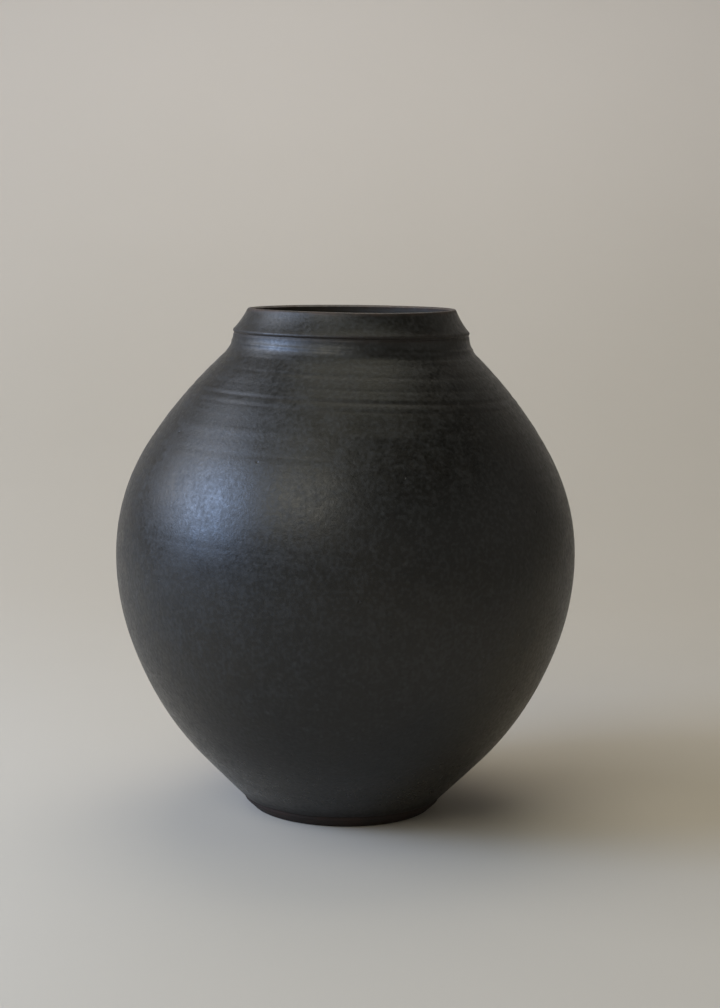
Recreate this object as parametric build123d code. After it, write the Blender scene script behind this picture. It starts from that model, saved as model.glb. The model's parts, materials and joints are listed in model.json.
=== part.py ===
from build123d import *
import math
import os

os.makedirs("parts", exist_ok=True)

# A wheel-thrown round pot. Millimetres, +Z up, the origin is the middle of the base.
# Every piece is a ring or a disc, turned about Z from a half section drawn in the XZ plane.

# Whole form
height = 280.0
belly_radius = 127.8
glaze_line = 7.0
glaze_thickness = 0.5

# The outside, walked from the belly. Each arc is (radius, lean where it ends, in degrees).
# The lean is the tilt of the outward normal: up is positive. A negative radius is a hollow arc.
arcs_below_belly = [(142.8, -19.0), (183.1, -43.7)]
shoulder_arcs = [(117.5, 32.7), (255.0, 46.5)]
cove_radius = 16.0
cove_lean = 7.0
neck_band = 1.0
groove_edge_arc = (0.7, 50.0)
groove_arc = (-0.6, -50.0)
ledge_arc = (1.1, 43.0)
collar_arc = (-40.0, 24.0)
lip_radius = 1.4
neck_arcs = [groove_edge_arc, groove_arc, ledge_arc, collar_arc, (lip_radius, 90.0)]

# Wall and floor
wall = 5.5
floor_top = 9.5
floor_corner_radius = 25.0

# Foot
foot_radius = 51.0
foot_edge_radius = 1.0
foot_bevel_height = 4.6
foot_bevel_radius = 55.9
recess_radius = 42.0
recess_height = 3.5

# Joints between the thrown sections
slip_thickness = 0.8
belly_joint_height = 158.0
belly_joint_slope = -45.0
neck_joint_height = 250.0
neck_joint_slope = 46.0
rim_joint_slope = -12.0
coil_radius = 3.0

# Half width of the shapes used to cut the half section, larger than the pot
reach = 200.0
# Thickness of the shapes that stand for everything above a joint
above_all = 600.0


def spot(centre, radius, lean):
    angle = math.radians(lean)
    return centre[0] + radius * math.cos(angle), centre[1] + radius * math.sin(angle)


def walk(point, lean, arcs):
    # Turns a list of touching arcs into (centre, radius, lean at start, lean at end)
    found = []
    for radius, end_lean in arcs:
        centre = spot(point, -radius, lean)
        found.append((centre, radius, lean, end_lean))
        point, lean = spot(centre, radius, end_lean), end_lean
    return found, point


def climb(start):
    # The arcs from the belly to the crest of the lip, with a short straight band under the groove
    to_neck, neck_top = walk(start, 0.0, shoulder_arcs + [(-cove_radius, cove_lean)])
    groove_foot = spot(neck_top, neck_band, cove_lean + 90.0)
    to_lip, crest = walk(groove_foot, cove_lean, neck_arcs)
    return to_neck + to_lip, crest[1]


belly_height = height - climb((belly_radius, 0.0))[1]
rising = climb((belly_radius, belly_height))[0]
shoulders = rising[: len(shoulder_arcs)]
cove = rising[len(shoulder_arcs)]
groove = rising[len(shoulder_arcs) + 1 + neck_arcs.index(groove_arc)]
lip = rising[-1]
falling = walk((belly_radius, belly_height), 0.0, arcs_below_belly)[0]


def at(point):
    return (point[0], 0.0, point[1])


def arc_edge(centre, radius, begin, end, depth):
    size = radius - depth
    middle = (begin + end) / 2
    return ThreePointArc(*(at(spot(centre, size, lean)) for lean in (begin, middle, end)))


def line_edge(a, b):
    return Line(at(a), at(b))


def joined(edges):
    # Adds the straight stretch wherever one edge ends short of the next
    chain = [edges[0]]
    for edge in edges[1:]:
        gap = edge.position_at(0) - chain[-1].position_at(1)
        if gap.length > 1e-6:
            chain.append(Line(chain[-1].position_at(1), edge.position_at(0)))
        chain.append(edge)
    return chain


def wall_foot_point(depth, level):
    # Where the straight lowest stretch of the wall, at this depth, meets a level
    centre, radius, _, lean = falling[-1]
    top = spot(centre, radius - depth, lean)
    return top[0] + (level - top[1]) * math.tan(math.radians(-lean)), level


def outer_line(depth):
    # From the glaze line up to the crest of the lip, at a depth under the glazed surface
    edges = [arc_edge(c, r, end, begin, depth) for c, r, begin, end in reversed(falling)]
    edges += [arc_edge(c, r, begin, end, depth) for c, r, begin, end in rising]
    start = at(wall_foot_point(depth, glaze_line))
    return joined([Line(start, edges[0] @ 0)] + edges)


def inner_line(depth):
    # From the crest of the lip down the inside to the middle of the floor
    lip_size = lip_radius - glaze_thickness
    swell = depth - glaze_thickness
    cove_size = cove_radius + wall
    across = (lip[0][0] - cove[0][0], lip[0][1] - cove[0][1])
    turn = math.degrees(math.acos(-(cove_size - lip_size) / math.hypot(*across)))
    throat_lean = math.degrees(math.atan2(across[1], across[0])) - turn
    edges = [arc_edge(lip[0], lip_size + swell, 90.0, 180.0 + throat_lean, 0.0)]
    edges.append(arc_edge(cove[0], -cove_size, throat_lean, cove[2], swell))
    for centre, radius, begin, end in reversed(shoulders):
        edges.append(arc_edge(centre, radius, end, begin, wall + swell))
    for centre, radius, begin, end in falling:
        edges.append(arc_edge(centre, radius, begin, end, wall + swell))
    corner_lean = falling[-1][3]
    floor_level = floor_top + swell
    corner_size = floor_corner_radius - swell
    # The corner arc touches the floor and the straight wall, so its centre is one radius from both
    centre_level = floor_level + corner_size
    centre = wall_foot_point(wall + swell + corner_size, centre_level)
    edges.append(arc_edge(centre, corner_size, corner_lean, -90.0, 0.0))
    edges.append(line_edge((centre[0], floor_level), (0.0, floor_level)))
    return joined(edges)


def foot_line():
    # From the middle of the recess under the floor, round the foot, to the glaze line
    side = wall_foot_point(glaze_thickness, glaze_line)
    rise = math.atan2(foot_bevel_height, foot_bevel_radius - foot_radius)
    edge_lean = math.degrees(rise) - 90.0
    centre = (foot_radius - foot_edge_radius, foot_edge_radius)
    points = [(0.0, recess_height), (recess_radius, recess_height), (recess_radius, 0.0)]
    points.append((centre[0], 0.0))
    edges = [line_edge(a, b) for a, b in zip(points, points[1:])]
    edges.append(arc_edge(centre, foot_edge_radius, -90.0, edge_lean, 0.0))
    edges.append(line_edge((foot_bevel_radius, foot_bevel_height), side))
    return joined(edges)


def half_section(edges):
    face = Face(Wire(joined(edges + [Line(edges[-1] @ 1, edges[0] @ 0)])))
    # The face looks along -Y, so that turning it about +Z gives a solid and not a void
    return face if face.normal_at().Y < 0 else -face


def clay_section():
    return half_section(foot_line() + outer_line(glaze_thickness) + inner_line(glaze_thickness))


def reversed_edges(edges):
    return [edge.reversed() for edge in reversed(edges)]


def outer_glaze_section():
    return half_section(outer_line(0.0) + reversed_edges(outer_line(glaze_thickness)))


def inner_glaze_section():
    clay_side = inner_line(glaze_thickness)
    hollow_side = inner_line(2 * glaze_thickness)
    return half_section(hollow_side + reversed_edges(clay_side))


def polygon(points):
    return make_face(Polyline(*(at(p) for p in points), close=True))


def slab(pivot, slope, low, high):
    # Everything between two parallel sloping lines, low and high from the pivot
    rise = reach * math.tan(math.radians(slope))
    r, z = pivot
    tilt = math.cos(math.radians(slope))
    low, high = z + low / tilt, z + high / tilt
    corners = [(r - reach, low - rise), (r + reach, low + rise)]
    corners += [(r + reach, high + rise), (r - reach, high - rise)]
    return polygon(corners)


def box_section(r_low, r_high, z_low, z_high):
    return polygon([(r_low, z_low), (r_high, z_low), (r_high, z_high), (r_low, z_high)])


def outside_radius(level):
    # Radius of the clay on the outside at a level above the belly's middle
    for centre, radius, begin, end in shoulders:
        size = radius - glaze_thickness
        if level <= spot(centre, size, end)[1]:
            break
    return centre[0] + math.sqrt(size**2 - (level - centre[1]) ** 2)


def joint(level, slope):
    # The slip band across the wall, and what lies above it
    pivot = (outside_radius(level), level)
    band = slab(pivot, slope, 0.0, slip_thickness)
    above = slab(pivot, slope, slip_thickness, above_all)
    return band, above


def turned(section, name):
    piece = revolve(section, Axis.Z)
    piece.label = name
    export_step(piece, "parts/" + name + ".step")


def make_base(clay):
    # The floor disc is luted into the foot ring and the wall by a thin ring of slip
    floor_edge = recess_radius - slip_thickness
    turned(clay & box_section(0.0, floor_edge, 0.0, floor_top), "floor_disc")
    turned(clay & box_section(floor_edge, recess_radius, recess_height, floor_top), "floor_slip_ring")
    turned(clay & box_section(recess_radius, reach, 0.0, glaze_line), "foot_ring")
    slip_top = glaze_line + slip_thickness
    turned(clay & box_section(recess_radius, reach, glaze_line, slip_top), "foot_slip_ring")
    return clay & (
        box_section(recess_radius, reach, slip_top, above_all)
        + box_section(0.0, recess_radius, floor_top, above_all)
    )


def make_wall(rest):
    # Bevelled joints at the belly and the neck, a flatter one behind the groove under the ledge
    belly_slip, above_belly = joint(belly_joint_height, belly_joint_slope)
    neck_slip, above_neck = joint(neck_joint_height, neck_joint_slope)
    rim_slip = slab(groove[0], rim_joint_slope, -slip_thickness / 2, slip_thickness / 2)
    above_rim = slab(groove[0], rim_joint_slope, slip_thickness / 2, above_all)

    # A coil pressed into the inside of the belly joint, smoothed flush with the wall
    clay_wall = wall - glaze_thickness
    coil_radius_out = outside_radius(belly_joint_height) - clay_wall
    coil_rise = clay_wall * math.tan(math.radians(-belly_joint_slope))
    coil_middle = Pos(coil_radius_out, belly_joint_height + coil_rise)
    coil_disc = make_face(Plane.XZ * coil_middle * Circle(coil_radius).edge())

    coil = rest & coil_disc
    body = rest - coil_disc
    turned(coil, "belly_inner_coil")
    turned(body & belly_slip, "belly_slip_ring")
    turned(body - belly_slip - above_belly, "lower_bowl")
    upper = body & above_belly
    turned(upper & neck_slip, "neck_slip_ring")
    turned(upper - neck_slip - above_neck, "upper_bowl")
    top = upper & above_neck
    turned(top & rim_slip, "rim_slip_ring")
    turned(top - rim_slip - above_rim, "neck_collar")
    turned(top & above_rim, "rim_band")


make_wall(make_base(clay_section()))
turned(outer_glaze_section(), "outer_glaze")
turned(inner_glaze_section(), "inner_glaze")
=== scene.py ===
import json
import math

import bmesh
import bpy
from mathutils import Matrix, Vector


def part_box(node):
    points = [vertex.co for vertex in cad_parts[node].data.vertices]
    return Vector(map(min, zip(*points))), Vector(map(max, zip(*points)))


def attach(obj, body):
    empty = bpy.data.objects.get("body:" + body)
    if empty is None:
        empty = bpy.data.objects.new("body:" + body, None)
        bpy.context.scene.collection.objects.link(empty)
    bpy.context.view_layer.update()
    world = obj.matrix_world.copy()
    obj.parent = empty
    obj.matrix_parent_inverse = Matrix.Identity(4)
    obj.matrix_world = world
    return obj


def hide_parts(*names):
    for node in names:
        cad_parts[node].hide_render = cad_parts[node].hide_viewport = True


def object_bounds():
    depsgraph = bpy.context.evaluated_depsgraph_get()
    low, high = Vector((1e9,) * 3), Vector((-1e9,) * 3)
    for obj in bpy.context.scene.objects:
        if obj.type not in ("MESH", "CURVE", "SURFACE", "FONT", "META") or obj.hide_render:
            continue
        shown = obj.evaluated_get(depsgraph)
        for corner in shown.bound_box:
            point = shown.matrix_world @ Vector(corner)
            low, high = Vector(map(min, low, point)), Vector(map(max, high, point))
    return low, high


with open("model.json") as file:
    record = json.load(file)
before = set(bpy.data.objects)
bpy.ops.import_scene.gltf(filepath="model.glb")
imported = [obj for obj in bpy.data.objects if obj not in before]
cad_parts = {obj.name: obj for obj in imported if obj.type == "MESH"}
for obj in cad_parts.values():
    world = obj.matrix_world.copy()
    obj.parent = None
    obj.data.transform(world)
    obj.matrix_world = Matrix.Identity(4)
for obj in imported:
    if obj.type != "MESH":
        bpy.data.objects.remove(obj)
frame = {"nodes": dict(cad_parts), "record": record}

# Thrown round pot with a satin black glaze. Metres, +Z up, front is -Y.
# The outline is drawn in millimetres and turned by Geometry Nodes.
mm = 0.001
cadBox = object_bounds()
potHeight = cadBox[1].z
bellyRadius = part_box("outer_glaze")[1].x
print("frame loaded, pot height", round(potHeight / mm, 1), "mm")


# ---- node helpers
class Value:
    # one socket of a node tree, with arithmetic on it
    def __init__(self, graph, socket):
        self.graph = graph
        self.socket = socket

    def out(self, name):
        return Value(self.graph, self.socket.node.outputs[name])

    def op(self, operation, *others):
        made = {0: self}
        made.update({i + 1: other for i, other in enumerate(others)})
        return self.graph.node("ShaderNodeMath", {"operation": operation}, made)

    def __add__(self, other):
        return self.op("ADD", other)

    def __sub__(self, other):
        return self.op("SUBTRACT", other)

    def __mul__(self, other):
        return self.op("MULTIPLY", other)

    def __truediv__(self, other):
        return self.op("DIVIDE", other)

    def __neg__(self):
        return self.op("MULTIPLY", -1.0)

    def __rsub__(self, other):
        return self.graph.number(other) - self

    def __rtruediv__(self, other):
        return self.graph.number(other) / self

    __radd__ = __add__
    __rmul__ = __mul__


class Graph:
    def __init__(self, tree):
        self.tree = tree

    def node(self, kind, settings=None, inputs=None, out=0):
        # any node: its settings first, then the values or links of its sockets
        made = self.tree.nodes.new(kind)
        for name, value in (settings or {}).items():
            setattr(made, name, value)
        for name, value in (inputs or {}).items():
            if isinstance(value, Value):
                self.tree.links.new(value.socket, made.inputs[name])
            else:
                made.inputs[name].default_value = value
        return Value(self, made.outputs[out]) if made.outputs else made

    def number(self, value):
        return self.node("ShaderNodeMath", {"operation": "ADD"}, {0: value, 1: 0.0})

    def xyz(self, x, y, z):
        return self.node("ShaderNodeCombineXYZ", None, {0: x, 1: y, 2: z})

    def noise(self, vector, scale, detail=2.0, roughness=0.5):
        inputs = {"Vector": vector, "Scale": scale, "Detail": detail, "Roughness": roughness}
        return self.node("ShaderNodeTexNoise", {"noise_dimensions": "3D"}, inputs)

    def ease(self, value, low, high):
        # 0 below low, 1 above high, smooth between
        inputs = {"Value": value, 1: low, 2: high, 3: 0.0, 4: 1.0}
        return self.node("ShaderNodeMapRange", {"interpolation_type": "SMOOTHSTEP"}, inputs)

    def blend(self, factor, a, b):
        # the colour result of a Mix node is its third output
        inputs = {0: factor, 6: a, 7: b}
        return self.node("ShaderNodeMix", {"data_type": "RGBA", "blend_type": "MIX"}, inputs, out=2)


def hump(value, middle, width):
    # 1 at the middle, fading smoothly over the width on both sides
    away = (value - middle) / width
    return (-(away * away)).op("EXPONENT")


# ---- the outline of the pot, in millimetres
outline = {
    "belowBelly": [(142.8, -19.0), (183.1, -43.7)],  # arcs: radius, lean of the normal at the end
    "shoulder": [(117.5, 32.7), (255.0, 46.5), (-16.0, 7.0)],
    "neckBand": 1.0,
    "lip": [(0.7, 50.0), (-0.6, -50.0), (1.1, 43.0), (-40.0, 24.0), (1.4, 90.0)],
    "glazeLine": 7.0,
    "glazeThickness": 0.5,
    "wall": 5.5,
    "floorTop": 9.5,
    "floorCorner": 25.0,
}


def spot(centre, radius, lean):
    angle = math.radians(lean)
    return (centre[0] + radius * math.cos(angle), centre[1] + radius * math.sin(angle))


def walk(point, lean, arcs):
    # touching arcs as (centre, radius, lean at the start, lean at the end)
    found = []
    for radius, endLean in arcs:
        centre = spot(point, -radius, lean)
        found.append((centre, radius, lean, endLean))
        point, lean = spot(centre, radius, endLean), endLean
    return found, point


def climb(start):
    # the arcs from the belly to the crest of the lip
    toNeck, neckTop = walk(start, 0.0, outline["shoulder"])
    grooveFoot = spot(neckTop, outline["neckBand"], toNeck[-1][3] + 90.0)
    toLip, crest = walk(grooveFoot, toNeck[-1][3], outline["lip"])
    return toNeck + toLip, crest[1]


belly = (bellyRadius / mm, potHeight / mm - climb((0.0, 0.0))[1])
rising = climb(belly)[0]
falling = walk(belly, 0.0, outline["belowBelly"])[0]


def arcPoints(centre, radius, begin, end, depth, step=0.1):
    # (r, z, normal r, normal z, bend) along an arc; bend is 1 / radius, negative in a hollow
    size = radius - depth
    count = max(2, math.ceil(abs(size * math.radians(end - begin)) / step))
    points = []
    for i in range(count + 1):
        lean = begin + (end - begin) * i / count
        r, z = spot(centre, size, lean)
        n = spot((0.0, 0.0), 1.0, lean)
        points.append((r, z, n[0], n[1], 1.0 / size))
    return points


def joinPoints(stretches, step=0.4):
    # adds the straight runs between arcs that don't touch
    points = list(stretches[0])
    for stretch in stretches[1:]:
        a, b = points[-1], stretch[0]
        gap = math.hypot(b[0] - a[0], b[1] - a[1])
        for i in range(1, math.ceil(gap / step)):
            t = i * step / gap
            points.append(tuple(p + (q - p) * t for p, q in zip(a[:4], b[:4])) + (0.0,))
        points += stretch
    return points


def straightFoot(depth, level):
    # where the straight lowest run of the wall, at this depth, meets a level
    centre, radius, _, lean = falling[-1]
    top = spot(centre, radius - depth, lean)
    n = spot((0.0, 0.0), 1.0, lean)
    return (top[0] + (level - top[1]) * math.tan(math.radians(-lean)), level, n[0], n[1], 0.0)


def outsidePoints(depth):
    stretches = [[straightFoot(depth, outline["glazeLine"])]]
    stretches += [arcPoints(c, r, end, begin, depth) for c, r, begin, end in reversed(falling)]
    stretches += [arcPoints(c, r, begin, end, depth) for c, r, begin, end in rising]
    return joinPoints(stretches)


def insidePoints(swell):
    # from the crest down to the floor, swell into the hollow from the clay
    clayLip = outline["lip"][-1][0] - outline["glazeThickness"]
    lip, cove = rising[-1], rising[2]
    coveSize = outline["wall"] - cove[1]
    across = (lip[0][0] - cove[0][0], lip[0][1] - cove[0][1])
    turn = math.degrees(math.acos(-(coveSize - clayLip) / math.hypot(*across)))
    throatLean = math.degrees(math.atan2(across[1], across[0])) - turn
    depth = outline["wall"] + swell
    stretches = [arcPoints(lip[0], clayLip + swell, 90.0, 180.0 + throatLean, 0.0)]
    stretches.append(arcPoints(cove[0], -coveSize, throatLean, cove[2], swell))
    for centre, radius, begin, end in reversed(rising[:2]):
        stretches.append(arcPoints(centre, radius, end, begin, depth))
    for centre, radius, begin, end in falling:
        stretches.append(arcPoints(centre, radius, begin, end, depth))
    corner = outline["floorCorner"] - swell
    level = outline["floorTop"] + swell
    middle = straightFoot(depth + corner, level + corner)
    stretches.append(arcPoints(middle, corner, falling[-1][3], -90.0, 0.0))
    stretches.append([(0.0, level, 0.0, -1.0, 0.0)])
    points = joinPoints(stretches)
    # the lip's own arc already looks into the hollow; everywhere else the wall's normal is turned round
    lipCount = len(stretches[0])
    return points[:lipCount] + [(r, z, -nr, -nz, bend) for r, z, nr, nz, bend in points[lipCount:]]


# ---- sampling: close rows where the wall has lines or tight bends, wide ones elsewhere
ringLines = [  # height, depth (negative stands out), width, in mm
    {"height": 260.2, "depth": -0.32, "width": 0.9},
    {"height": 255.2, "depth": -0.10, "width": 1.1},
    {"height": 247.5, "depth": 0.10, "width": 1.0},
    {"height": 241.0, "depth": 0.09, "width": 0.9},
    {"height": 236.9, "depth": -0.08, "width": 0.9},
    {"height": 235.1, "depth": 0.14, "width": 0.8},
    {"height": 232.6, "depth": -0.05, "width": 0.8},
    {"height": 230.7, "depth": 0.09, "width": 0.7},
    {"height": 218.5, "depth": -0.11, "width": 2.4},
    {"height": 207.0, "depth": 0.08, "width": 1.5},
    {"height": 160.0, "depth": 0.035, "width": 1.2},
]
rowStep = {"tight": 0.28, "line": 0.5, "neck": 0.7, "wall": 1.3, "inside": 1.6, "hidden": 3.0}
rowRule = {"tightBend": 0.2, "lineReach": 2.2, "neckFrom": 262.0}


def stepAt(point):
    if abs(point[4]) > rowRule["tightBend"]:
        return rowStep["tight"]
    if any(abs(point[1] - line["height"]) < rowRule["lineReach"] * line["width"] for line in ringLines):
        return rowStep["line"]
    return rowStep["neck"] if point[1] > rowRule["neckFrom"] else rowStep["wall"]


def thinned(points, fixedStep=None):
    kept = [points[0]]
    for point in points[1:-1]:
        step = fixedStep or stepAt(point)
        if math.hypot(point[0] - kept[-1][0], point[1] - kept[-1][1]) >= step:
            kept.append(point)
    return kept + [points[-1]]


def bendMask(points, sign, bend=0.3, reach=0.8):
    # 1 on the tight bends of one sign, fading over reach in mm
    tight = [p for p in points if sign * p[4] > bend]
    mask = []
    for p in points:
        near = min((math.hypot(p[0] - q[0], p[1] - q[1]) for q in tight), default=math.inf)
        mask.append(math.exp(-(near / reach) ** 2))
    return mask


def closedOutline(front, back):
    points = front + list(reversed(back)) + [front[0]]
    masks = {"thin": bendMask(points, 1), "pool": bendMask(points, -1)}
    return points, masks


def withNormals(path):
    # outward normals for a plain list of (r, z), walked with the solid on the left
    points = []
    for i, (r, z) in enumerate(path):
        a, b = path[max(i - 1, 0)], path[min(i + 1, len(path) - 1)]
        length = math.hypot(b[0] - a[0], b[1] - a[1]) or 1.0
        points.append((r, z, (b[1] - a[1]) / length, -(b[0] - a[0]) / length, 0.0))
    return points


# ---- geometry nodes
def geometryTree(name, inputs):
    tree = bpy.data.node_groups.new(name, "GeometryNodeTree")
    tree.interface.new_socket("Geometry", in_out="INPUT", socket_type="NodeSocketGeometry")
    for label, kind in inputs.items():
        tree.interface.new_socket(label, in_out="INPUT", socket_type="NodeSocket" + kind)
    tree.interface.new_socket("Geometry", in_out="OUTPUT", socket_type="NodeSocketGeometry")
    graph = Graph(tree)
    return graph, graph.node("NodeGroupInput")


def endTree(graph, geometry, material):
    real = graph.node("GeometryNodeRealizeInstances", None, {"Geometry": geometry})
    done = graph.node("GeometryNodeSetMaterial", None, {"Geometry": real, "Material": material})
    graph.node("NodeGroupOutput", None, {"Geometry": done})


thrown = {
    "lineUneven": {"scale": 1.3, "swing": 1.1, "least": 0.45},  # how a line changes round the pot
    "ringDrift": 5.0, "ringSwing": 2.0,
    "upperFrom": 0.10, "upperTo": 0.22, "lowShare": 0.25,  # rings fade below, heights in metres
    "slowAround": 14.0, "slowUp": 22.0, "slowSwing": 0.9,
    "trimAround": 9.0, "trimUp": 1300.0, "clayScale": 420.0, "clayShare": 0.8,
    "edgeScale": 2.2, "edgeLevel": 0.3,
}


def turnTree():
    # turns an outline (vertices in the XZ plane) about Z and throws the rings into it
    g, start = geometryTree("turnedForm", {
        "Around": "Int", "Ring Lines": "Float", "Ring Tilt": "Float", "Throwing": "Float",
        "Throwing Pitch": "Float", "Trimming": "Float", "Edge Wave": "Float",
        "Deepest": "Float", "Material": "Material",
    })
    size = g.node("GeometryNodeAttributeDomainSize", {"component": "MESH"},
                  {"Geometry": start.out("Geometry")})
    rows, around = size.out("Point Count"), start.out("Around")
    grid = g.node("GeometryNodeMeshGrid", None,
                  {"Size X": 1.0, "Size Y": 1.0, "Vertices X": around + 1.0, "Vertices Y": rows})
    index = g.node("GeometryNodeInputIndex")
    row = index.op("MODULO", rows)
    angle = (index / rows).op("FLOOR") / around * (2 * math.pi)

    def sampled(value, kind="FLOAT"):
        inputs = {"Geometry": start.out("Geometry"), "Value": value, "Index": row}
        return g.node("GeometryNodeSampleIndex", {"data_type": kind, "domain": "POINT"}, inputs)

    def named(name):
        return sampled(g.node("GeometryNodeInputNamedAttribute", {"data_type": "FLOAT"}, {"Name": name}))

    place = g.node("ShaderNodeSeparateXYZ", None,
                   {0: sampled(g.node("GeometryNodeInputPosition"), "FLOAT_VECTOR")})
    radius, height = place.out("X"), place.out("Z")
    cosine, sine = angle.op("COSINE"), angle.op("SINE")
    x, y = radius * cosine, radius * sine
    level = height + x * start.out("Ring Tilt")
    # single lines left by the finger and the rib, a little uneven round the pot
    lines = g.number(0.0)
    change = thrown["lineUneven"]
    for i, line in enumerate(ringLines):
        ringPlace = g.xyz(cosine * change["scale"], sine * change["scale"], float(i))
        uneven = g.noise(ringPlace, 1.0, 1.0) * change["swing"] + change["least"]
        ridge = hump(level, line["height"] * mm, line["width"] * mm)
        lines = lines - ridge * (uneven * (line["depth"] * mm))
    # the close, soft rings of throwing, fading in the lower wall
    pitch = start.out("Throwing Pitch")
    drift, slowAround, trimAround = thrown["ringDrift"], thrown["slowAround"], thrown["trimAround"]
    rings = g.noise(g.xyz(x * drift, y * drift, level / pitch), 1.0, 2.0, 0.55) - 0.5
    upper = g.ease(height, thrown["upperFrom"], thrown["upperTo"])
    upper = upper * (1.0 - thrown["lowShare"]) + thrown["lowShare"]
    slow = g.noise(g.xyz(x * slowAround, y * slowAround, level * thrown["slowUp"]), 1.0, 1.0) - 0.5
    throwing = (rings * upper * thrown["ringSwing"] + slow * thrown["slowSwing"]) * start.out("Throwing")
    # fine lines of the trimming tool, with the grain of the clay
    tool = g.noise(g.xyz(x * trimAround, y * trimAround, height * thrown["trimUp"]), 1.0, 2.0) - 0.5
    grain = g.noise(g.xyz(x, y, height), thrown["clayScale"], 2.0) - 0.5
    trimming = (tool + grain * thrown["clayShare"]) * start.out("Trimming")
    push = (lines * start.out("Ring Lines") + throwing + trimming).op("MAXIMUM", -start.out("Deepest"))
    push = push * named("free")
    # the glaze edge at the foot runs up and down
    circle = g.xyz(cosine * thrown["edgeScale"], sine * thrown["edgeScale"], thrown["edgeLevel"])
    wave = (g.noise(circle, 1.0, 3.0) - 0.5) * start.out("Edge Wave")
    outward, upward = named("normalR"), named("normalZ")
    edgeShift = wave * named("edge")
    reach = outward * push - upward * edgeShift
    rise = upward * push + outward * edgeShift
    moved = g.xyz(x + cosine * reach, y + sine * reach, height + rise)
    shape = g.node("GeometryNodeSetPosition", None, {"Geometry": grid, "Position": moved})
    for name in ("thin", "pool", "edge"):
        shape = g.node("GeometryNodeStoreNamedAttribute", {"data_type": "FLOAT", "domain": "POINT"},
                       {"Geometry": shape, "Name": name, "Value": named(name)})
    endTree(g, shape, start.out("Material"))
    return g.tree


handPlaces = {
    "belly": (0.5, 0.3),  # middle and half width, in pot heights
    "neck": (0.66, 0.92), "lip": (0.965, 1.0),  # from and to, in pot heights
    "bellyFrom": (0.02, 0.09), "ovalFrom": (0.03, 0.12),  # from and to, in metres
    "footFullness": (0.003, 0.009),  # middle and half width, in metres
    "lowFullness": (0.045, 0.026),
    "highFullness": (0.205, 0.026),
}


def handTree():
    # the whole pot's small faults: the wall wanders off the axis, the mouth is oval, the lip tips
    g, start = geometryTree("handmadeForm", {
        "Belly Shift": "Float", "Neck Shift": "Float", "Oval": "Float", "Lip Tip": "Float",
        "Lip Wave": "Float", "Foot Fullness": "Float",
        "Low Fullness": "Float", "High Fullness": "Float", "Material": "Material",
    })
    place = g.node("ShaderNodeSeparateXYZ", None, {0: g.node("GeometryNodeInputPosition")})
    x, y, z = place.out("X"), place.out("Y"), place.out("Z")
    bellyMiddle, bellyReach = (part * potHeight for part in handPlaces["belly"])
    bellyPart = hump(z, bellyMiddle, bellyReach) * g.ease(z, *handPlaces["bellyFrom"])
    neckPart = g.ease(z, *(part * potHeight for part in handPlaces["neck"]))
    lipPart = g.ease(z, *(part * potHeight for part in handPlaces["lip"]))
    angle = y.op("ARCTAN2", x)
    # two slow waves round the lip, out of step with each other
    wave = (angle * 2.0 + 0.6).op("SINE") * 0.6 + (angle * 3.0 + 2.1).op("SINE") * 0.4
    oval = g.ease(z, *handPlaces["ovalFrom"]) * start.out("Oval")
    fuller = (hump(z, *handPlaces["footFullness"]) * start.out("Foot Fullness")
              + hump(z, *handPlaces["lowFullness"]) * start.out("Low Fullness")
              + hump(z, *handPlaces["highFullness"]) * start.out("High Fullness"))
    offset = g.xyz(
        start.out("Belly Shift") * bellyPart + start.out("Neck Shift") * neckPart + x * (fuller + oval),
        y * (fuller - oval),
        lipPart * (x * start.out("Lip Tip") + wave * start.out("Lip Wave")),
    )
    shape = g.node("GeometryNodeSetPosition", None, {"Geometry": start.out("Geometry"), "Offset": offset})
    endTree(g, shape, start.out("Material"))
    return g.tree


hand = {"Belly Shift": -0.15 * mm, "Neck Shift": 1.0 * mm, "Oval": 0.0005, "Lip Tip": 0.008,
        "Lip Wave": 0.25 * mm, "Foot Fullness": -0.014, "Low Fullness": 0.0050,
        "High Fullness": -0.0030}


def addNodes(piece, tree, values):
    modifier = piece.modifiers.new(tree.name, "NODES")
    modifier.node_group = tree
    for item in tree.interface.items_tree:
        if item.in_out == "INPUT" and item.name in values:
            modifier[item.identifier] = values[item.name]


meshing = {"weld": 0.004 * mm, "sharpAngle": 35.0}


def realMesh(piece, name):
    # the evaluated result as a plain, closed mesh at the origin
    bpy.context.view_layer.update()
    graph = bpy.context.evaluated_depsgraph_get()
    mesh = bpy.data.meshes.new_from_object(piece.evaluated_get(graph), depsgraph=graph)
    bpy.data.objects.remove(piece)
    soup = bmesh.new()
    soup.from_mesh(mesh)
    bmesh.ops.remove_doubles(soup, verts=soup.verts, dist=meshing["weld"])
    bmesh.ops.recalc_face_normals(soup, faces=soup.faces)
    soup.to_mesh(mesh)
    soup.free()
    mesh.shade_smooth()
    mesh.set_sharp_from_angle(angle=math.radians(meshing["sharpAngle"]))
    made = bpy.data.objects.new(name, mesh)
    bpy.context.scene.collection.objects.link(made)
    return made


def outlineObject(name, points, masks, free, edge):
    mesh = bpy.data.meshes.new(name)
    verts = [(p[0] * mm, 0.0, p[1] * mm) for p in points]
    mesh.from_pydata(verts, [(i, i + 1) for i in range(len(verts) - 1)], [])
    columns = {"normalR": [p[2] for p in points], "normalZ": [p[3] for p in points],
               "free": [free(p) for p in points], "edge": [edge(p) for p in points], **masks}
    for label, column in columns.items():
        mesh.attributes.new(label, "FLOAT", "POINT").data.foreach_set("value", column)
    made = bpy.data.objects.new(name, mesh)
    bpy.context.scene.collection.objects.link(made)
    return made


def finishPiece(piece, node):
    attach(piece, "root")
    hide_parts(node)
    print("made", piece.name, len(piece.data.polygons), "faces")


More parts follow.
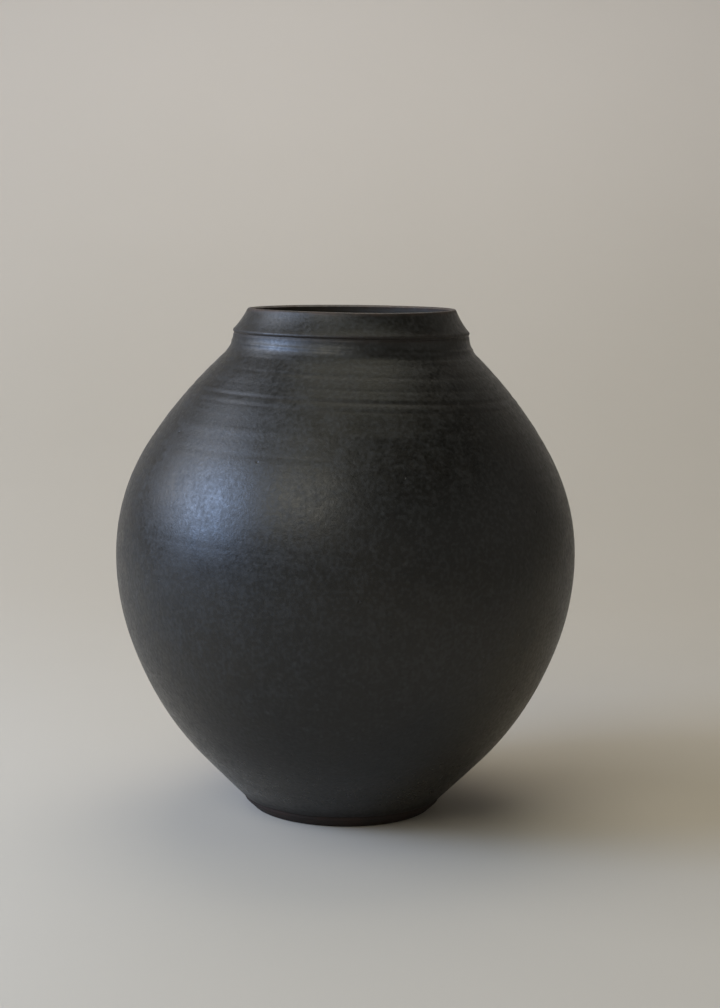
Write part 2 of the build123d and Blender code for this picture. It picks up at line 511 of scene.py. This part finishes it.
def turnedPiece(name, node, material, shape, values, free=lambda p: 1.0, edge=lambda p: 0.0):
    points, masks = shape
    piece = outlineObject(name, points, masks, free, edge)
    addNodes(piece, turnTreeMade, {**values, "Material": material})
    addNodes(piece, handTreeMade, {**hand, "Material": material})
    finishPiece(realMesh(piece, name), node)


def innerPiece(name, node, material):
    # a section under the glaze keeps its CAD shape and takes the pot's small faults
    source = frame["nodes"][node]
    piece = bpy.data.objects.new(name, source.data.copy())
    bpy.context.scene.collection.objects.link(piece)
    addNodes(piece, handTreeMade, {**hand, "Material": material})
    finishPiece(realMesh(piece, name), node)


turnTreeMade = turnTree()
handTreeMade = handTree()
print("geometry trees ready")


# ---- materials
def material(name):
    made = bpy.data.materials.new(name)
    made.use_nodes = True
    made.node_tree.nodes.clear()
    graph = Graph(made.node_tree)
    return made, graph


def objectPlace(g):
    # the piece's own coordinates in millimetres
    place = g.node("ShaderNodeTexCoord").out("Object")
    scaled = g.node("ShaderNodeVectorMath", {"operation": "SCALE"}, {0: place, "Scale": 1.0 / mm})
    return scaled, g.node("ShaderNodeSeparateXYZ", None, {0: scaled})


def attribute(g, name):
    return g.node("ShaderNodeAttribute", {"attribute_name": name}).out("Fac")


def bump(g, height, distance, normal=None):
    inputs = {"Height": height, "Distance": distance, "Strength": 1.0}
    if normal is not None:
        inputs["Normal"] = normal
    return g.node("ShaderNodeBump", None, inputs)


def surface(g, inputs):
    shader = g.node("ShaderNodeBsdfPrincipled", None, inputs)
    g.node("ShaderNodeOutputMaterial", None, {"Surface": shader})


def spots(g, vector, scale, size):
    # round marks of radius size with soft edges, scattered about 1 / scale apart
    inputs = {"Vector": vector, "Scale": scale, "Randomness": 1.0}
    away = g.node("ShaderNodeTexVoronoi", {"feature": "F1"}, inputs)
    return 1.0 - g.ease(away / scale, size * 0.35, size)


glazeLook = {
    "black": (0.0036, 0.0038, 0.0034, 1.0),
    "olive": (0.0066, 0.0060, 0.0044, 1.0),
    "blueGrey": (0.034, 0.0365, 0.039, 1.0),
    "thinBrown": (0.036, 0.020, 0.013, 1.0),
    # dark brown of the pits, also used for painted shade in the cut lines and above the glaze edge at the
    # foot
    "pitAndShadeBrown": (0.0045, 0.0030, 0.0022, 1.0),
    "poolBrown": (0.0100, 0.0060, 0.0042, 1.0),
    "roughness": 0.42,
    "leastRoughness": 0.2,
    "ior": 1.50,
    "tilt": 0.022,
    "scale": {"drift": 0.020, "cloud": 0.11, "mottle": 0.50, "soft": 0.44, "grain": 1.0,
              "drip": 0.46, "ring": 0.40, "ringAround": 0.014, "patch": 0.16},  # per millimetre
    "band": {"low": (60.0, 190.0), "upper": (130.0, 215.0), "flecked": (20.0, 120.0),
             "lip": (274.0, 278.5), "smooth": (15.0, 90.0)},  # heights in millimetres
    "flecks": {"strength": 0.30, "least": 0.25, "cloud": 0.35, "run": 0.55},
    "specks": {"scale": 0.26, "size": 1.3, "squash": 0.7, "strength": 0.22},
    "pits": {"scale": 0.045, "size": 1.0, "strength": 0.85},
    "lowOlive": 0.10,
    "ringBrown": 0.16,
    "thin": {"least": 0.25, "patchy": 0.6, "elsewhere": 0.2},
    "pool": 0.85,
    # strength of the painted shade above the glaze edge at the foot
    "edge": 0.9,
    # painted shade along the two cut lines
    "paintedGrooveShade": [(235.1, 0.9, 0.40), (230.7, 0.8, 0.28)],  # height, width, strength
    "rough": {"mottle": 0.36, "cloud": 0.20, "rings": 0.10, "thin": 0.10, "pits": 0.2, "edge": 0.25,
              "smooth": 0.10},
    "bump": {"rings": 0.06, "grain": 0.10, "pits": 0.25},  # depths in millimetres
    "share": {"rings": 0.5, "drip": 0.4, "grain": 0.22},  # of those depths
}


def glazeColour(g, look, place, axes, pattern):
    z, low, upper = axes.out("Z"), pattern["low"], pattern["upper"]
    scale, band, cloud = look["scale"], look["band"], pattern["cloud"]
    drift = g.noise(place, scale["drift"], 3.0, 0.6)
    colour = g.blend(g.ease(drift + low * look["lowOlive"], 0.38, 0.68), look["black"], look["olive"])
    # soft pale flecks, gathered in clouds, longer where the glaze ran low on the wall
    flecks, specks = look["flecks"], look["specks"]
    soft = g.noise(place, scale["soft"], 1.5, 0.4)
    field = (soft * (1.0 - low * flecks["run"]) + pattern["drip"] * (low * flecks["run"])
             + (cloud - 0.5) * flecks["cloud"])
    pale = g.ease(field, 0.40, 0.70) * flecks["strength"]
    pale = pale * (flecks["least"] + g.ease(z, *band["flecked"]) * (1.0 - flecks["least"]))
    squashed = g.xyz(axes.out("X"), axes.out("Y"), z * specks["squash"])
    spotted = spots(g, squashed, specks["scale"], specks["size"]) * g.ease(cloud, 0.46, 0.60)
    pale = (pale + spotted * specks["strength"]).op("MINIMUM", 1.0)
    colour = g.blend(pale, colour, look["blueGrey"])
    # brown between the rings, and painted shade in the two cut lines
    between = 1.0 - g.ease(pattern["rings"], 0.30, 0.66)
    colour = g.blend(between * upper * look["ringBrown"], colour, look["pitAndShadeBrown"])
    # painted shade along the two carved cut lines
    for height, width, strength in look["paintedGrooveShade"]:
        line = hump(pattern["level"], height, width) * strength
        colour = g.blend(line, colour, look["pitAndShadeBrown"])
    # iron breaks through brown on the lip, the glaze pools dark in the groove, and painted shade darkens
    # the glaze just above its edge at the foot
    thin = look["thin"]
    patchy = g.ease(g.noise(place, scale["patch"], 3.0), 0.34, 0.64)
    onLip = g.ease(z, *band["lip"]) * (1.0 - thin["elsewhere"]) + thin["elsewhere"]
    worn = pattern["thin"] * onLip * (patchy * thin["patchy"] + thin["least"])
    colour = g.blend(worn, colour, look["thinBrown"])
    colour = g.blend(pattern["pool"] * look["pool"], colour, look["poolBrown"])
    # painted shade above the glaze edge at the foot
    colour = g.blend(g.ease(pattern["edge"], 0.45, 0.85) * look["edge"], colour, look["pitAndShadeBrown"])
    return g.blend(pattern["pits"] * look["pits"]["strength"], colour, look["pitAndShadeBrown"])


def glazeRoughness(g, look, z, pattern):
    rough = look["rough"]
    total = (look["roughness"] + (pattern["mottle"] - 0.5) * rough["mottle"]
             + (pattern["cloud"] - 0.5) * rough["cloud"]
             + (pattern["rings"] - 0.5) * pattern["upper"] * rough["rings"]
             + pattern["thin"] * rough["thin"] + pattern["pits"] * rough["pits"]
             + pattern["edge"] * rough["edge"]
             - (1.0 - g.ease(z, *look["band"]["smooth"])) * rough["smooth"])
    return total.op("MAXIMUM", look["leastRoughness"])


def glazeMaterial(name, look):
    made, g = material(name)
    place, axes = objectPlace(g)
    x, y, z = axes.out("X"), axes.out("Y"), axes.out("Z")
    scale, band, depth = look["scale"], look["band"], look["bump"]
    level, around = z + x * look["tilt"], scale["ringAround"]
    # cloudy mottling, streaks where the glaze ran, and the rings of throwing
    pattern = {
        "level": level,
        "low": 1.0 - g.ease(z, *band["low"]),
        "upper": g.ease(z, *band["upper"]),
        "cloud": g.noise(place, scale["cloud"], 2.0, 0.5),
        "mottle": g.noise(place, scale["mottle"], 2.0, 0.5),
        "drip": g.noise(g.xyz(x, y, z * 0.5), scale["drip"], 1.5, 0.4),
        "rings": g.noise(g.xyz(x * around, y * around, level * scale["ring"]), 1.0, 3.0, 0.6),
        "pits": spots(g, place, look["pits"]["scale"], look["pits"]["size"]),
    }
    for mask in ("thin", "pool", "edge"):
        pattern[mask] = attribute(g, mask)
    share = look["share"]
    waves = (pattern["rings"] * pattern["upper"] * share["rings"]
             + pattern["drip"] * pattern["low"] * share["drip"])
    grain = pattern["mottle"] + g.noise(place, scale["grain"], 2.0, 0.6) * share["grain"]
    normal = bump(g, waves, depth["rings"] * mm)
    normal = bump(g, grain, depth["grain"] * mm, normal)
    normal = bump(g, 1.0 - pattern["pits"], depth["pits"] * mm, normal)
    surface(g, {"Base Color": glazeColour(g, look, place, axes, pattern),
                "Roughness": glazeRoughness(g, look, z, pattern),
                "Normal": normal, "IOR": look["ior"]})
    return made


clayLook = {
    "base": (0.0230, 0.0115, 0.0075, 1.0),
    "dark": (0.0110, 0.0070, 0.0052, 1.0),
    "light": (0.0420, 0.0270, 0.0200, 1.0),
    "roughness": 0.78,
    "ior": 1.45,
    "scale": {"cloud": 0.07, "grain": 1.6, "trim": 1.3, "trimAround": 0.03},  # per millimetre
    "specks": {"scale": 0.5, "size": 0.5, "strength": 0.7},
    "paleGrain": 0.6,
    "grog": 1.0,
    "bump": {"trim": 0.10, "grain": 0.08},  # depths in millimetres
}


def clayMaterial(name, look):
    made, g = material(name)
    place, axes = objectPlace(g)
    scale, around = look["scale"], look["scale"]["trimAround"]
    cloud = g.noise(place, scale["cloud"], 4.0, 0.6)
    grain = g.noise(place, scale["grain"], 3.0, 0.6)
    turned = g.xyz(axes.out("X") * around, axes.out("Y") * around, axes.out("Z") * scale["trim"])
    trim = g.noise(turned, 1.0, 3.0, 0.6)
    specks = spots(g, place, look["specks"]["scale"], look["specks"]["size"])
    colour = g.blend(g.ease(cloud, 0.30, 0.70), look["dark"], look["base"])
    colour = g.blend(g.ease(grain, 0.56, 0.78) * look["paleGrain"], colour, look["light"])
    colour = g.blend(specks * look["specks"]["strength"], colour, look["dark"])
    normal = bump(g, trim, look["bump"]["trim"] * mm)
    normal = bump(g, grain + specks * look["grog"], look["bump"]["grain"] * mm, normal)
    surface(g, {"Base Color": colour, "Roughness": look["roughness"] + (grain - 0.5) * 0.2,
                "Normal": normal, "IOR": look["ior"]})
    return made


# the liner keeps the glaze's pattern, but its black and olive are many times lighter than the outer
# glaze's: painted light on the inside of the mouth
linerLookPaintedLight = {**glazeLook, "black": (0.042, 0.039, 0.034, 1.0), "olive": (0.058, 0.050, 0.040, 1.0),
             "roughness": 0.38}
blackGlaze = glazeMaterial("satin black glaze", glazeLook)
linerGlazePaintedLight = glazeMaterial("liner glaze with painted light", linerLookPaintedLight)
bareClay = clayMaterial("bare fired clay", clayLook)
slipLook = {**clayLook, "base": (0.033, 0.019, 0.013, 1.0), "grog": 0.3}
jointSlip = clayMaterial("joint slip", slipLook)
print("materials ready")


# ---- the pieces
thickness = outline["glazeThickness"]
glazeLine = outline["glazeLine"]
coat = {"Around": 204, "Ring Lines": 1.0, "Ring Tilt": 0.022, "Throwing": 0.07 * mm,
        "Throwing Pitch": 4.6 * mm, "Trimming": 0.0, "Edge Wave": 2.4 * mm, "Deepest": 0.40 * mm}
bead = {"height": 1.3, "width": 0.9, "proud": 0.14, "edgeFade": 9.0}


def beaded(points):
    # the coat ends in a small roll just above the bare foot
    rolled = []
    for r, z, nr, nz, bend in points:
        away = (z - glazeLine - bead["height"]) / bead["width"]
        out = bead["proud"] * math.exp(-away * away)
        rolled.append((r + nr * out, z + nz * out, nr, nz, bend))
    return rolled


def edgeNear(point):
    return max(0.0, 1.0 - (point[1] - glazeLine) / bead["edgeFade"])


outerShape = closedOutline(thinned(beaded(outsidePoints(0.0))),
                           thinned(outsidePoints(thickness), rowStep["hidden"]))
turnedPiece("outer_glaze_coat", "outer_glaze", blackGlaze, outerShape, coat, edge=edgeNear)

liner = {"Around": 160, "Ring Lines": 0.0, "Ring Tilt": 0.01, "Throwing": 0.36 * mm,
         "Throwing Pitch": 6.5 * mm, "Trimming": 0.0, "Edge Wave": 0.0, "Deepest": 0.40 * mm}
stillLip = 3.0


def belowLip(point):
    # the coats meet on the crest of the lip, so the rings stop short of it
    return min(1.0, max(0.0, (potHeight / mm - point[1]) / stillLip))


innerShape = closedOutline(thinned(insidePoints(thickness), rowStep["inside"]),
                           thinned(insidePoints(0.0), rowStep["hidden"]))
turnedPiece("inner_glaze_coat", "inner_glaze", linerGlazePaintedLight, innerShape, liner, free=belowLip)

foot = {"recess": 42.0, "radius": 51.0, "bevelHeight": 4.6, "bevelRadius": 55.9, "rounding": 0.9,
        "bevelStart": 0.2, "step": 0.45, "flatFace": 0.4}
cornerSteps = 4


def roundedPath(corners, rounding, step):
    # straight runs with each inner corner rounded off
    path = [corners[0]]
    for before, corner, after in zip(corners, corners[1:], corners[2:]):
        a = (Vector(before) - Vector(corner)).normalized() * rounding
        b = (Vector(after) - Vector(corner)).normalized() * rounding
        for i in range(cornerSteps + 1):
            t = i / cornerSteps
            point = Vector(corner) + a * (1 - t) ** 2 + b * t ** 2
            path.append((point.x, point.y))
    path.append(corners[-1])
    filled = [path[0]]
    for end in path[1:]:
        begin = filled[-1]
        gap = math.hypot(end[0] - begin[0], end[1] - begin[1])
        for i in range(1, math.ceil(gap / step)):
            t = i * step / gap
            filled.append((begin[0] + (end[0] - begin[0]) * t, begin[1] + (end[1] - begin[1]) * t))
        filled.append(end)
    return filled


side = straightFoot(thickness, glazeLine)
footCorners = [(foot["recess"], glazeLine), (foot["recess"], 0.0),
               (foot["radius"] - foot["bevelStart"], 0.0),
               (foot["bevelRadius"], foot["bevelHeight"]), (side[0], glazeLine)]
footPath = withNormals(roundedPath(footCorners, foot["rounding"], foot["step"]))
footTop = [(r, glazeLine, 0.0, 1.0, 0.0) for r in (side[0] - 0.5, 0.5 * (side[0] + foot["recess"]))]
footPoints = footPath + footTop + [footPath[0]]
footShape = (footPoints, {"thin": [0.0] * len(footPoints), "pool": [0.0] * len(footPoints)})
trimmed = {"Around": 260, "Ring Lines": 0.0, "Ring Tilt": 0.0, "Throwing": 0.0,
           "Throwing Pitch": 5.0 * mm, "Trimming": 0.22 * mm, "Edge Wave": 0.0, "Deepest": 0.3 * mm}


def footFree(point):
    # only the outer side shows the trimming; the resting face stays flat
    return 1.0 if point[0] > foot["radius"] and foot["flatFace"] < point[1] < glazeLine else 0.0


turnedPiece("turned_foot_ring", "foot_ring", bareClay, footShape, trimmed, free=footFree)

for part in frame["record"]["subparts"]:
    node, slotName = part["node"], part["material_slot"]
    if node not in ("outer_glaze", "inner_glaze", "foot_ring"):
        finish = jointSlip if slotName == "joint_slip" else bareClay
        innerPiece(node + "_body", node, finish)


# ---- floor, light and camera
studio = {
    "floorTone": (0.510, 0.470, 0.402, 1.0),
    # the wall's lighter tone, on the same paper as the floor, is painted light
    "paintedLightWallTone": (0.705, 0.655, 0.595, 1.0),
    "halfWidth": 7.0,
    "front": -7.0,
    "back": 0.60,
    "bend": 1.30,
    "bendSteps": 32,
    "wallHeight": 3.0,
    "wallToneFrom": 650.0,  # height in millimetres where the floor's tone has given way to the wall's lighter tone, which is painted light
    "drift": {"scale": 0.004, "share": 0.15},
    "roughness": 0.9,
    "lampAim": 0.54,  # in pot heights
}


def makeBackdrop():
    profile = [(studio["front"], 0.0)]
    for i in range(studio["bendSteps"] + 1):
        turn = math.radians(90.0 * i / studio["bendSteps"])
        profile.append((studio["back"] + studio["bend"] * math.sin(turn),
                        studio["bend"] * (1.0 - math.cos(turn))))
    profile.append((studio["back"] + studio["bend"], studio["wallHeight"]))
    verts = [(s * studio["halfWidth"], y, z) for y, z in profile for s in (-1, 1)]
    faces = [(2 * i, 2 * i + 1, 2 * i + 3, 2 * i + 2) for i in range(len(profile) - 1)]
    mesh = bpy.data.meshes.new("backdrop")
    mesh.from_pydata(verts, [], faces)
    mesh.shade_smooth()
    made, g = material("pale paper")
    place, axes = objectPlace(g)
    share = studio["drift"]["share"]
    drift = g.noise(place, studio["drift"]["scale"], 3.0)
    # the paper turns lighter up the wall: painted light
    rise = g.ease(axes.out("Z"), 0.0, studio["wallToneFrom"])
    colour = g.blend(rise * (1.0 - share) + drift * share, studio["floorTone"], studio["paintedLightWallTone"])
    surface(g, {"Base Color": colour, "Roughness": studio["roughness"]})
    mesh.materials.append(made)
    backdrop = bpy.data.objects.new("backdrop", mesh)
    bpy.context.scene.collection.objects.link(backdrop)


lamps = {  # turn and rise in degrees seen from the pot, distance and size in metres
    "window": {"turn": -106.0, "rise": 22.0, "distance": 1.5, "size": 0.68, "power": 18.0,
               "colour": (0.42, 0.61, 1.0)},
    "sideDaylight": {"turn": -85.0, "rise": 30.0, "distance": 1.8, "size": 1.2, "power": 14.0,
                     "colour": (0.90, 0.93, 1.0)},
    "frontDaylight": {"turn": -130.0, "rise": 35.0, "distance": 2.0, "size": 1.4, "power": 4.5,
                      "colour": (1.0, 0.93, 0.70)},
    "doorway": {"turn": -156.0, "rise": 38.0, "distance": 1.8, "size": 0.9, "power": 6.5,
                "colour": (1.0, 0.98, 0.88)},
    "ceiling": {"turn": 0.0, "rise": 89.0, "distance": 2.0, "size": 1.6, "power": 7.5,
                "colour": (1.0, 0.97, 0.78)},
    "backFill": {"turn": 0.0, "rise": 60.0, "distance": 1.7, "size": 1.2, "power": 8.0,
                 "colour": (1.0, 0.93, 0.84)},
}
room = {"colour": (1.0, 0.96, 0.88), "strength": 0.30, "fadeFrom": 0.35, "fadeTo": 0.75}


def makeLamp(name, lamp):
    middle = Vector((0.0, 0.0, studio["lampAim"] * potHeight))
    turn, rise = math.radians(lamp["turn"]), math.radians(lamp["rise"])
    away = Vector((math.sin(turn) * math.cos(rise), math.cos(turn) * math.cos(rise), math.sin(rise)))
    data = bpy.data.lights.new(name, "AREA")
    data.shape = "SQUARE"
    data.size = lamp["size"]
    data.energy, data.color = lamp["power"], lamp["colour"]
    made = bpy.data.objects.new(name, data)
    made.location = middle + away * lamp["distance"]
    made.rotation_euler = away.to_track_quat("Z", "Y").to_euler()
    made.visible_camera = False
    bpy.context.scene.collection.objects.link(made)


def makeRoom():
    # a pale room that darkens towards the ceiling
    world = bpy.data.worlds.new("room")
    world.use_nodes = True
    world.node_tree.nodes.clear()
    g = Graph(world.node_tree)
    direction = g.node("ShaderNodeSeparateXYZ", None, {0: g.node("ShaderNodeTexCoord").out("Generated")})
    low = 1.0 - g.ease(direction.out("Z"), room["fadeFrom"], room["fadeTo"])
    light = g.node("ShaderNodeBackground", None,
                   {"Color": (*room["colour"], 1.0), "Strength": low * room["strength"]})
    g.node("ShaderNodeOutputWorld", None, {"Surface": light})
    bpy.context.scene.world = world


view = {"distance": 4.0, "height": 1.15, "down": 7.67, "right": 0.38, "roll": 1.01, "lens": 72.18,
        "sensor": 36.0}  # pot heights, degrees and millimetres


def makeCamera():
    data = bpy.data.cameras.new("camera")
    data.sensor_width = view["sensor"]
    data.lens = view["lens"]
    camera = bpy.data.objects.new("camera", data)
    turn = Matrix.Rotation(math.radians(-view["right"]), 4, "Z")
    tip = Matrix.Rotation(math.radians(90.0 - view["down"]), 4, "X")
    roll = Matrix.Rotation(math.radians(view["roll"]), 4, "Z")
    place = Matrix.Translation((0.0, -view["distance"] * potHeight, view["height"] * potHeight))
    camera.matrix_world = place @ turn @ tip @ roll
    bpy.context.scene.collection.objects.link(camera)
    bpy.context.scene.camera = camera


makeBackdrop()
makeRoom()
for lampName, lamp in lamps.items():
    makeLamp(lampName, lamp)
makeCamera()
bpy.context.scene.view_settings.view_transform = "Standard"
print("studio ready")
